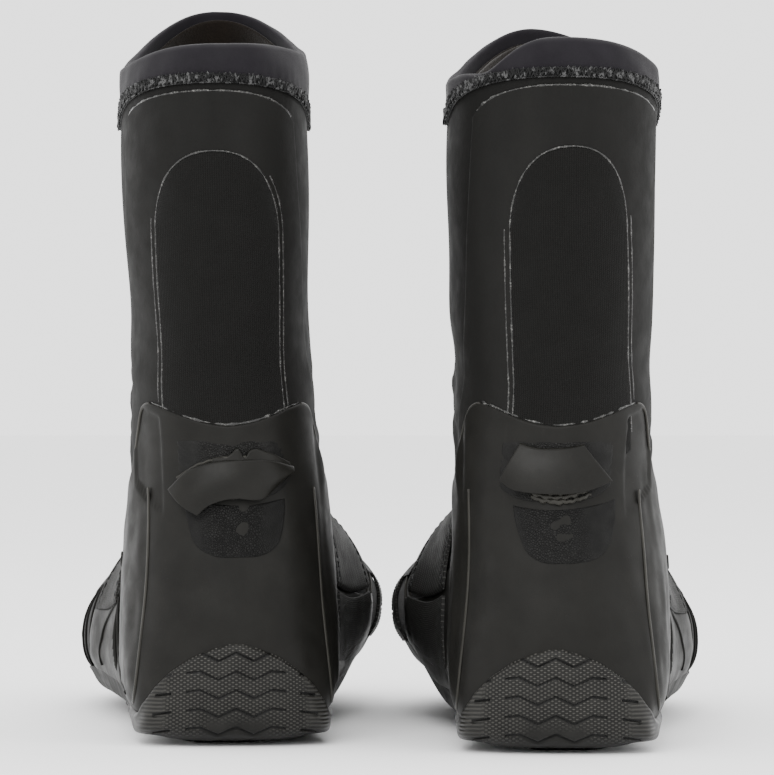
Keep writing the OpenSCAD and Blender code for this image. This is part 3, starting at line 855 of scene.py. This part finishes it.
def counter(b):
    """Two-lobed moulded heel counter with wings, outer window, inset and soft folds."""
    us, vs = np.linspace(-1, 1, 241), lattice(70, 60)

    def shape(u, v):
        lt, la, ht, ha = along(np.abs(u), COUNTER)
        return mix(lt, ht, v), np.sign(u) * mix(la, ha, v)

    def lift(t, a, su, sv):
        inset = ease((a - 41) / 1.5) * ease((69 - a) / 1.5) * ease((t - 12.28) / .05) * ease((13.6 - t) / .05)
        folds = ease((-a - 58) / 6) * ease((a + 88) / 6) * ease((t - 12.1) / .3) * ease((13.4 - t) / .3)
        fold = np.cos((a + 72) / 4.2 * math.pi / 2)
        pocket = ease((30 - np.abs(a)) / 8) * ease((t - 11.9) / .2) * ease((13.0 - t) / .3)
        return -.8 * inset + .5 * folds * fold - .35 * pocket + .16 * waves(su, sv, 51 + b, 24)

    obj = shell(f"{SIDES[b]}_heel_counter", b, us, vs, shape, .25, 1.75, [MATS["overlay"]], r=.7, lift=lift)
    cut(obj, window_cutter(b))
    obj.name = f"{SIDES[b]}_heel_counter"
    fit(obj, b, ("heel_counter",), bend=ANKLE_BEND)


def counter_trim(b):
    """Moulded ridges on the counter, the rim of the window and the glued top edge."""
    t = np.linspace(9.7, 12.45, 60)
    ridges = [(t, 54 + .8 * np.sin(t * 2), np.full(60, 1.8)), (t, np.full(60, -54.0), np.full(60, 1.8))]
    x = np.linspace(.34, .64, 70)
    ht, ha = along(x, COUNTER)[2:]
    ridges += [(ht - .02, sgn * ha, np.full(70, 1.2)) for sgn in (-1, 1)]
    # the counter's ridges take the lighter rubber as a painted highlight
    trim("counter_ridges", b, ridges, .75, "painted_highlight", flat=.5, slot="overlay_rubber", bend=ANKLE_BEND)
    x = np.linspace(-.33, .33, 160)
    ht, ha = along(np.abs(x), COUNTER)[2:]
    edge = [(ht + .012, np.sign(x) * ha, np.full(160, .9))]
    trim("counter_glue", b, edge, .5, "edge_glue", rough=.6, seed=5 + b, slot="seam_glue",
         bend=ANKLE_BEND)
    half = even([(9.25, 66), (8.6, 76), (8.0, 88), (7.75, 99)], 40)
    front = even([(6.5, 72), (6.55, 82), (6.8, 92), (7.6, 100), (8.6, 106), (9.6, 103), (10.4, 98)], 80)
    rim = [(half[:, 0], half[:, 1], np.full(40, 1.7)), (front[:, 0], front[:, 1], np.full(80, 1.75))]
    trim("wing_rim", b, rim, .9, "bumper", flat=.7, slot="overlay_rubber")


PATCH = [dict(mid=-1, top=27.5, low=22, t0=11.98, t1=12.56),
         dict(mid=7, top=27.5, low=21, t0=11.95, t1=12.54)]


def anchor(b):
    """Moulded pocket-shaped patch below the pull tab."""
    k = PATCH[b]

    def shape(u, v):
        half = k["low"] + (k["top"] - k["low"]) * (1 - (1 - v) ** 2)
        return mix(k["t0"] + .13 * np.abs(u) ** 4, k["t1"], v), k["mid"] + u * half

    def lift(t, a, su, sv):
        hollow = ease((18 - np.abs(a - k["mid"])) / 14) * ease((t - k["t0"] - .1) / .2)
        return .1 * waves(su, sv, 61 + b, 9) - .55 * hollow

    piece("anchor_patch", b, np.linspace(-1, 1, 91), lattice(50, 18), shape, .9, 2.0, ["patch"], r=.5,
          lift=lift, slot="patch_rubber")


def tab_base(b):
    """Sewn and glued root of the tab with puckers."""
    mid = -1 if b == 0 else 1

    def shape(u, v):
        top = 13.38 - .1 * np.abs(u) ** 3
        return mix(12.62 + .1 * np.abs(u) ** 4, top, v), mid + u * 31

    def lift(t, a, su, sv):
        return .14 * waves(su, sv * 2.2, 71 + b, 9) * ease((t - 12.7) / .2)

    def high(u, v):
        return 2.1 - .4 * np.maximum(np.abs(u), np.abs(2 * v - 1)) ** 6

    piece("tab_base", b, np.linspace(-1, 1, 101), lattice(46, 24), shape, .9, high, ["tab_root"], r=.3,
          lift=lift, slot="overlay_rubber")
    if b:
        x = np.linspace(-10, 19, 60)
        lips = [(12.69 - .05 * np.cos((x - 4) / 9) + .006 * np.sin(x * 1.9), x, 2.5 + .3 * np.sin(x)),
                (12.735 - .04 * np.cos((x - 2) / 8), x * .9, 2.8 + .3 * np.sin(x * 1.3)),
                (12.77 - .03 * np.cos(x / 8), x * .8 + 2, np.full(60, 2.9))]
    else:
        x = np.linspace(-22, 30, 90)
        lips = [(13.16 - .42 * ((x + 2) / 34) ** 2, x, 2.6 + .3 * np.sin(x))]
    # the glue lips take the lighter rubber as a painted highlight
    trim("tab_glue", b, lips, .85, "painted_highlight", rough=.3, seed=9, slot="seam_glue")


TAB_LOW = [   # u, t, a along the tab's lower edge, for each boot
    [(0, 12.47, 17), (.13, 12.58, 12.5), (.28, 12.66, 6), (.45, 12.69, -1.5), (.62, 12.66, -8),
     (.76, 12.66, -14), (.88, 12.75, -21), (1, 12.86, -31)],
    [(0, 12.87, -25.5), (.1, 12.815, -20), (.3, 12.79, -12), (.5, 12.785, -2), (.75, 12.79, 13),
     (1, 12.86, 28)]]
TAB_TOP = [   # and along its upper edge
    [(0, 12.66, 34.5), (.2, 12.95, 23), (.42, 13.12, 8.5), (.58, 13.155, -2.5), (.8, 13.1, -20),
     (1, 12.93, -35)],
    [(0, 13.36, -18), (.3, 13.32, -9), (.6, 13.32, 2), (1, 13.35, 13)]]


def tab(b):
    """Sewn pull loop: folded up on the left boot, hanging on the right."""
    def shape(u, v):
        (lt, la), (ht, ha) = along(u, TAB_LOW[b]), along(u, TAB_TOP[b])
        return mix(lt, ht, v), mix(la, ha, v)

    def high(u, v):
        if b == 0:
            return 5.0 + 1.4 * np.sin(math.pi * np.clip(v, 0, 1)) + .9 * (1 - u) * (1 - v) - 1.2 * u ** 4
        return 6.5 - 2.6 * v ** 1.6 + .5 * np.sin(math.pi * v) + .5 * (2 * u - 1) ** 2 * (1 - v)

    piece("pull_tab", b, lattice(80, 40), lattice(34, 17), shape, lambda u, v: high(u, v) - 1.3, high,
          ["tab"], r=.55, body="tab", slot="tab_rubber", bend=None if b else TAB_BEND)
    if b == 0:
        def behind(u, v):
            top = along(u, [(0, 13.16, 9), (.22, 13.2, 1), (.34, 13.3, -3.5), (.42, 13.17, -6),
                            (.5, 13.25, -9), (.75, 13.2, -20), (1, 12.99, -33)])
            return mix(top[0] - .16, top[0], v), top[1]

        obj = shell(f"{SIDES[b]}_tab_loop", b, lattice(70, 28), lattice(10, 6), behind, 2.4,
                    lambda u, v: 3.9 + .5 * np.exp(-((u - .36) / .09) ** 2) - .5 * v, [MATS["tab"]], r=.5)
    else:
        obj = shell(f"{SIDES[b]}_tab_loop", b, lattice(60, 34), lattice(14, 11),
                    lambda u, v: (mix(12.84, 13.3, v), mix(mix(-21, -16, v), mix(24, 11, v), u)), 2.3,
                    lambda u, v: 3.3 + .2 * np.sin(u * 20), [MATS["tab"]], r=.4)
    fit(obj, b, body="tab")


def panel(name, b, t0, t1, a0, a1, low, high, mat, slot, nodes=(), bow=0.0, cols=80):
    """Overlay patch on the foot, with one end bowed."""
    def shape(u, v):
        w = 1 - (2 * u - 1) ** 2
        return mix(t0 - bow * w, t1 + bow * w, v), mix(a0, a1, u)

    piece(name, b, lattice(cols, 60), lattice(60, 60), shape, low, high, [mat], nodes, slot=slot, r=.4)


def strap(b):
    """Instep strap with bound, stitched edges; its root and the hook tape under its end."""
    us, vs = np.linspace(98, 257, 121), lattice(40, 36)
    piece("instep_strap", b, us, vs, lambda u, v: (mix(6.3, 7.7, v), u), 1.9, 3.2, ["strap"],
          lift=lambda t, a, su, sv: -.3 * ease((1.2 - np.abs(np.minimum(sv, sv[-1] - sv) - 3.0)) / .8),
          body="strap", slot="strap_webbing")
    stitches = []
    for t in (6.42, 7.58):
        for a in np.arange(100, 255, 3.3):
            x = np.linspace(a, a + 2.2, 6)
            stitches.append((np.full(6, t), x, 3.05 + .2 * np.sin(np.linspace(0, math.pi, 6))))
    trim("strap_stitches", b, stitches, .3, "thread", flat=.9, sides=5, body="strap",
         slot="stitching_thread")
    panel("strap_root", b, 6.3, 7.7, 259, 284, .6, lambda u, v: 3.1 - 1.6 * u ** 2, "strap", "strap_webbing",
          ("strap_root",), cols=24)
    panel("hook_pad", b, 6.45, 7.55, 110, 138, .3, 1.5, "hook", "hook_tape", ("hook_pad",), cols=30)


def vamp(b):
    """Dotted instep panel, pale stitched strip on the inner side, contour ridges and the ankle seam."""
    panel("instep_panel", b, 2.0, 5.9, 112, 248, .15, 1.1, "dotted", "ribbed_fabric", ("instep_panel",),
          bow=.12)
    panel("side_strip", b, 4.95, 5.5, 228, 296, .2, 1.3, "strip", "strap_webbing", bow=-.1, cols=90)
    x = np.linspace(0, 1, 6)
    dashes = [(4.9 + .06 * x, a + 1.4 * x, 1.35 + .15 * np.sin(math.pi * x))
              for a in np.arange(230, 295, 2.3)]
    trim("strip_stitches", b, dashes, .35, "bumper", flat=.9, sides=5, slot="stitching_thread")
    n = 110
    for k, (start, stop) in enumerate(((60, 118), (248, 300))):
        a = np.linspace(start, stop, n)
        w = np.sin(np.radians((a - start) / (stop - start) * 180))
        lines = [(t + .3 * w, a, np.full(n, .3)) for t in ((5.5, 5.15, 4.8) if k == 0 else (5.95, 5.72))]
        # the inner side's ridges take the lighter rubber as a painted highlight
        trim(f"side_ridges_{k}", b, lines, .9, "painted_highlight" if k else "bumper", slot="overlay_rubber")
        trim(f"side_stitching_{k}", b, [(4.45 + .3 * w, a, np.full(n, .25))], .45, "glue", rough=.5,
             seed=15, slot="seam_glue")
    a = np.linspace(98, 262, n)
    trim("ankle_seam", b, [(np.full(n, FOOT_TOP), a, np.full(n, .05))], .6, "edge_glue", rough=.35, flat=.5,
         seed=17, slot="seam_glue")
    fans = [even([(10.6 - .25 * k, 228 + 5 * k), (9.6 - .3 * k, 240 + 7 * k),
                  (8.3 - .25 * k, 256 + 8 * k)], 40) for k in range(3)]
    # these ridges take the lighter rubber as a painted highlight
    trim("inner_ridges", b, [(f[:, 0], f[:, 1], np.full(40, .3)) for f in fans], .6, "painted_highlight",
         slot="overlay_rubber")


# ---------------------------------------------------------------- leg pieces

PANEL_EDGE = [(13.2, 75), (13.48, 73.5), (15.28, 62), (16.3, 56), (17.1, 53)]
OUTER_EDGE = [(13.2, 77), (15.3, 72), (17.1, 66.5)]
INSERT_T, CROWN_T, CROWN_RISE = 13.0, 16.05, .8   # section numbers of the insert's foot, crown and its rise
INSERT = [dict(lo=[(INSERT_T, -35), (CROWN_T, -35.5)], hi=[(INSERT_T, 38.5), (CROWN_T, 37)]),
          dict(lo=[(INSERT_T, -25), (CROWN_T, -26.5)], hi=[(INSERT_T, 47), (14.5, 40), (CROWN_T, 34.5)])]


def insert_shape(b):
    """Shape of the calf insert: straight-sided up to v = 1, then a round crown up to v = 2."""
    k = INSERT[b]

    def shape(u, v):
        t = mix(INSERT_T, CROWN_T, np.minimum(v, 1))
        lo, hi = lookup(t, k["lo"]), lookup(t, k["hi"])
        crown = np.maximum(v - 1, 0) * CROWN_RISE * np.sqrt(np.maximum(0, 1 - u * u))
        return t + crown, mix(lo, hi, (u + 1) / 2)
    return shape


def insert_outline(b, n, grow):
    """t and a along the insert's edge, up one side, over the crown and down, grow mm outside it."""
    k = INSERT[b]
    up = np.linspace(13.3, CROWN_T, n)
    arc = np.linspace(0, math.pi, n)
    lo, hi = (lookup(up, k[e]) for e in ("lo", "hi"))
    w = grow / LEG_SCALE[1]
    mid, half = (lo[-1] + hi[-1]) / 2, (hi[-1] - lo[-1]) / 2 + w
    return (np.concatenate([up, CROWN_T + (CROWN_RISE + grow / LEG_SCALE[0]) * np.sin(arc), up[::-1]]),
            np.concatenate([lo - w, mid - half * np.cos(arc), (hi + w)[::-1]]))


def leg(b):
    """Back panel, with its glued top edge, and the jersey insert, with its glued seam."""
    def edge(t, a):
        return np.where(a < 0, lookup(t, PANEL_EDGE), lookup(t, OUTER_EDGE))

    def back(u, v):
        t = mix(13.0, seam_t(u * 66) - .26 - .12 * np.abs(u) ** 6, v)
        return t, u * edge(t, u)

    piece("leg_back_panel", b, np.linspace(-1, 1, 121), lattice(70, 130), back, .05, .75, ["skin"],
          slot="smoothskin_neoprene", soft=True, bend=ANKLE_BEND)
    x = np.linspace(-.93, .93, 150)
    t, a = back(x, 1 + 0 * x)
    trim("panel_glue", b, [(t + .01, a, np.full(150, .35))], .42, "edge_glue", flat=.55, rough=.7,
         seed=35 + b, body="leg", slot="seam_glue")
    vs = np.concatenate([np.linspace(0, 1, 60)[:-1], 1 + np.linspace(0, 1, 30) ** .7])
    piece("calf_insert", b, np.sin(np.linspace(-math.pi / 2, math.pi / 2, 71)), vs, insert_shape(b), .5,
          1.15, ["jersey"], r=.5, slot="jersey_neoprene", soft=True, bend=ANKLE_BEND)
    t, a = insert_outline(b, 90, .3)
    t2, a2 = insert_outline(b, 90, 2.4)
    paths = [(t, a, np.full(len(t), 1.0))]
    for part in (slice(0, (110, 90)[b]), slice(175, 254)):
        paths.append((t2[part], a2[part], np.full(part.stop - part.start, .75)))
    trim("insert_seam", b, paths, .34, "edge_glue", flat=.55, rough=.4, seed=25 + b, nodes=("insert_seam",),
         slot="seam_glue", bend=ANKLE_BEND)


def cuff(b):
    """Soft open cuff and the overlocked seam that joins it to the leg."""
    def shape(u, v):
        a = 360 * u
        turn = (a + 180) % 360 - 180
        dip = .5 * b * np.exp(-((turn + 40) / 20) ** 2)
        return mix(seam_t(a) - .03, rim_t(b, a) - dip, v), a

    def lift(t, a, su, sv):
        high = (t - seam_t(a)) / np.maximum(rim_t(b, a) - seam_t(a), .2)
        turn = np.radians(a)
        pucker = np.sin(62 * turn + 1.5 * np.sin(5 * turn)) * np.exp(-np.clip(high, 0, 1) * 5)
        swell = waves(58 * np.cos(turn), 58 * np.sin(turn) + 1.5 * sv, 81 + b, 26)
        roll = .25 * np.sin(math.pi * np.clip(high, 0, 1)) ** .8
        return .16 * pucker + roll + .35 * swell * np.clip(high * 2, 0, 1)

    piece("cuff", b, np.linspace(0, 1, 241), lattice(26, 30, 1.6), shape, -3.3, .3, ["cuff"], wrap=True,
          r=1.7, lift=lift, body="leg", slot="soft_cuff", soft=True)

    def band(u, v):
        return seam_t(360 * u) + mix(-.09, .11 + .012 * np.sin(u * 420), v), 360 * u

    piece("cuff_stitching", b, np.linspace(0, 1, 181), lattice(8, 5, .5), band, -.3, .85, ["band"],
          wrap=True, body="leg", slot="stitching_thread")
    n = 138   # overlock stitches round the cuff, each drawn by six points
    turn = np.linspace(0, n, n * 6, endpoint=False)
    a = 360 * turn / n
    wander = .001 * waves(a * .6, a * .2, 91 + b, 14)
    zig = np.interp(turn % 1, [0, .42, .5, .92, 1], [-1, 1, 1, -1, -1])
    rng = np.random.default_rng(7 + b)
    reach, shift, slant = (np.repeat(rng.uniform(-1, 1, n), 6) for _ in range(3))
    loop = np.cos(turn * 4 * math.pi)
    paths = [(seam_t(a) + .02 + (.085 + .03 * reach) * zig + wander, a + .4 * slant, 1.1 + .15 * loop),
             (seam_t(a) + .075 - .05 * zig + .02 * shift, a + 1.2, .9 + .2 * loop),
             (seam_t(a) - .005 + .045 * zig + .02 * slant, a + .5 + .3 * shift, .95 - .2 * loop),
             (seam_t(a) - .078 + .008 * np.sin(turn * 4 * math.pi), a, .8 + .2 * np.cos(turn * 2 * math.pi))]
    trim("cuff_thread", b, paths, .33, "thread", flat=.9, sides=5, closed=True, rough=.3, seed=3,
         body="leg", slot="stitching_thread")


for b in range(2):
    for make in (upper, lining, sole_cup, tread, insole, bumper, counter, counter_trim, anchor, tab_base, tab,
                 strap, vamp, leg, cuff):
        make(b)


# ---------------------------------------------------------------- floor, light and camera

def flat_material(name, value):
    """Matt paper, very faintly uneven."""
    k = Nodes(name)
    k.put(k.ramp(k.noise(400), (.2, value * .985), (.8, value)), k.bsdf.inputs["Base Color"])
    k.bsdf.inputs["Roughness"].default_value = .9
    return k.mat


corners = [(-6000, -6000, 0), (6000, -6000, 0), (6000, 9000, 0), (-6000, 9000, 0)]
floor = mesh_object("floor", corners, [[0, 1, 2, 3]], mats=[flat_material("floor_paper", .93)])


def area(name, where, target, size, power):
    """A soft rectangular light aimed at a point."""
    light = bpy.data.lights.new(name, "AREA")
    light.shape, light.size, light.size_y, light.energy = "RECTANGLE", size[0], size[1], power
    obj = bpy.data.objects.new(name, light)
    bpy.context.scene.collection.objects.link(obj)
    obj.location = where
    aim = mathutils.Vector(target) - mathutils.Vector(where)
    obj.rotation_euler = aim.to_track_quat("-Z", "Y").to_euler()


area("key", (-.5, -1.7, 1.5), (0, 0, .12), (1.2, 1.0), 26)
area("fill", (1.5, -1.0, .8), (0, 0, .12), (.8, 1.4), 5)
area("left_rim", (-1.3, .1, .3), (0, 0, .06), (.7, .9), 2)
area("right_rim", (1.3, .1, .3), (0, 0, .06), (.7, .9), 1.5)
area("top", (0, .1, 1.9), (0, 0, .1), (1.5, 1.5), 12)

world = bpy.data.worlds.new("studio")
bpy.context.scene.world = world
world.use_nodes = True
world.node_tree.nodes["Background"].inputs[0].default_value = (1, 1, 1, 1)
world.node_tree.nodes["Background"].inputs[1].default_value = 2.3

camera = bpy.data.cameras.new("camera")
camera.lens = 186.5
camera.sensor_width = 36
camera.clip_start, camera.clip_end = .05, 50
eye = bpy.data.objects.new("camera", camera)
eye.location = (0, -1.528, .126)
eye.rotation_euler = (math.pi / 2, 0, 0)
bpy.context.scene.collection.objects.link(eye)
bpy.context.scene.camera = eye
